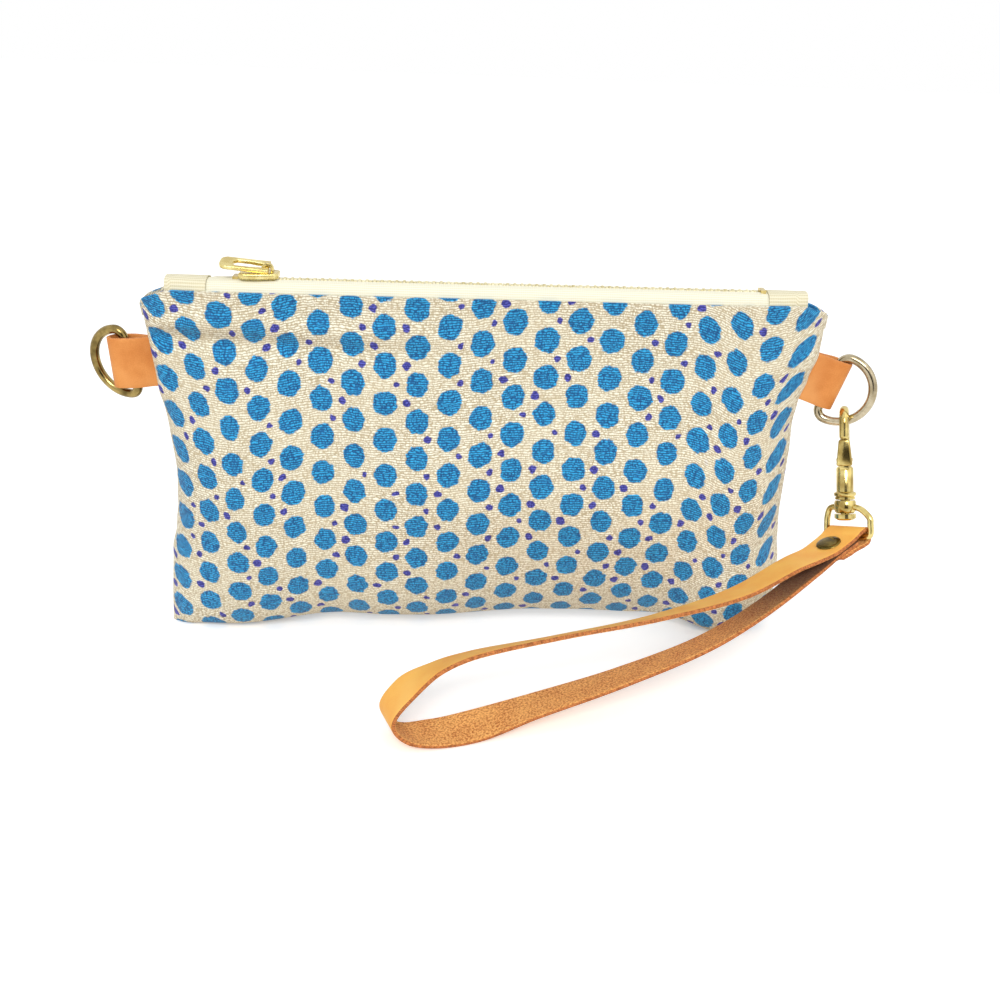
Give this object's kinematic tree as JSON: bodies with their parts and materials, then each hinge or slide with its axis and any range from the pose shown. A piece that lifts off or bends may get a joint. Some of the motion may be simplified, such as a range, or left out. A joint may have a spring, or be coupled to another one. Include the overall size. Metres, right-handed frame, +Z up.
{
  "type": "wristlet clutch",
  "caption": "Zip-top canvas wristlet clutch with leather side tabs, brass D-rings and a leather wrist loop on a swivel snap hook.",
  "frame": {"origin": "the point on the table midway between the two lower corners that the pouch stands on", "axes": "+X along the zip from its closed end, towards the wrist strap; -Y out of the front panel; +Z up"},
  "size_m": [0.2435, 0.0848, 0.1226],
  "materials": {
    "canvas": "matte woven",
    "lining": "matte woven",
    "zip_tape": "matte woven",
    "tab_leather": "satin",
    "strap_leather": "satin",
    "brass": "polished",
    "spring_steel": "satin"
  },
  "bodies": {
    "pouch": {"front_panel": "canvas", "back_panel": "canvas", "front_lining": "lining", "back_lining": "lining", "front_zip_tape": "zip_tape", "back_zip_tape": "zip_tape", "left_zip_end": "zip_tape", "right_zip_end": "zip_tape", "front_top_stop": "brass", "back_top_stop": "brass", "bottom_stop": "brass", "left_tab": "tab_leather", "right_tab": "tab_leather"},
    "slider": {"slider_body": "brass"},
    "pull": {"pull_tab": "brass"},
    "front_left_row": {"front_left_teeth": "brass"},
    "front_right_row": {"front_right_teeth": "brass"},
    "back_left_row": {"back_left_teeth": "brass"},
    "back_right_row": {"back_right_teeth": "brass"},
    "left_ring": {"left_d_ring": "brass"},
    "right_ring": {"right_d_ring": "brass"},
    "hook": {"hook_body": "brass", "gate_pin": "brass", "gate_spring": "spring_steel", "swivel_stud": "brass"},
    "gate": {"hook_gate": "brass"},
    "eye": {"swivel_eye": "brass"},
    "strap": {"wrist_strap": "strap_leather", "rivet_cap": "brass", "rivet_base": "brass"}
  },
  "joints": [
    {"name": "zip_slide", "type": "slide", "parent": "pouch", "child": "slider", "axis": [1, 0, 0], "range_m": [0, 0.1425], "deforming": ["front_zip_tape", "back_zip_tape", "front_left_teeth", "front_right_teeth", "back_left_teeth", "back_right_teeth"]},
    {"name": "pull_flip", "type": "hinge", "parent": "slider", "child": "pull", "pos_m": [-0.0645, 0, 0.1208], "axis": [0, 1, 0], "range_deg": [0, 170]},
    {"name": "front_left_part", "type": "hinge", "parent": "pouch", "child": "front_left_row", "pos_m": [-0.0704, 0, 0.1178], "axis": [0, 0, -1], "range_deg": [0, 3.8]},
    {"name": "front_right_part", "type": "hinge", "parent": "pouch", "child": "front_right_row", "pos_m": [0.082, 0, 0.1178], "axis": [0, 0, 1], "range_deg": [0, 3.8]},
    {"name": "back_left_part", "type": "hinge", "parent": "pouch", "child": "back_left_row", "pos_m": [-0.0704, 0, 0.1178], "axis": [0, 0, 1], "range_deg": [0, 3.8]},
    {"name": "back_right_part", "type": "hinge", "parent": "pouch", "child": "back_right_row", "pos_m": [0.082, 0, 0.1178], "axis": [0, 0, -1], "range_deg": [0, 3.8]},
    {"name": "left_ring_swing", "type": "hinge", "parent": "pouch", "child": "left_ring", "pos_m": [-0.10754, 0, 0.09143], "axis": [-0.1582, 0, 0.9874], "range_deg": [-68, 112]},
    {"name": "right_ring_swing", "type": "hinge", "parent": "pouch", "child": "right_ring", "pos_m": [0.10893, 0, 0.08878], "axis": [0.2857, 0, 0.9583], "range_deg": [-6, 75], "deforming": ["wrist_strap"]},
    {"name": "hook_swing", "type": "hinge", "parent": "right_ring", "child": "hook", "pos_m": [0.11421, -0.00425, 0.07851], "axis": [0.8525, -0.3798, 0.3592], "range_deg": [-30, 30], "deforming": ["wrist_strap"]},
    {"name": "gate_press", "type": "hinge", "parent": "hook", "child": "gate", "pos_m": [0.11421, -0.01015, 0.0677], "axis": [-0.9192, 0.346, -0.1883], "range_deg": [0, 25], "stiffness_Nm_per_rad": 0.03, "springref_deg": -11.46, "deforming": ["gate_spring"]},
    {"name": "eye_swivel", "type": "hinge", "parent": "hook", "child": "eye", "pos_m": [0.11562, -0.01368, 0.05432], "axis": [-0.0541, 0.3627, 0.9303], "continuous": true, "deforming": ["wrist_strap"]},
    {"name": "strap_swing", "type": "hinge", "parent": "eye", "child": "strap", "pos_m": [0.1162, -0.01756, 0.04437], "axis": [0.6284, -0.7117, 0.314], "range_deg": [-10, 120], "deforming": ["wrist_strap"]}
  ],
  "couplings": [
    {"joint": "front_left_part", "follows": "zip_slide", "rad_per_m": 0.455},
    {"joint": "front_right_part", "follows": "zip_slide", "rad_per_m": 0.455},
    {"joint": "back_left_part", "follows": "zip_slide", "rad_per_m": 0.455},
    {"joint": "back_right_part", "follows": "zip_slide", "rad_per_m": 0.455}
  ]
}
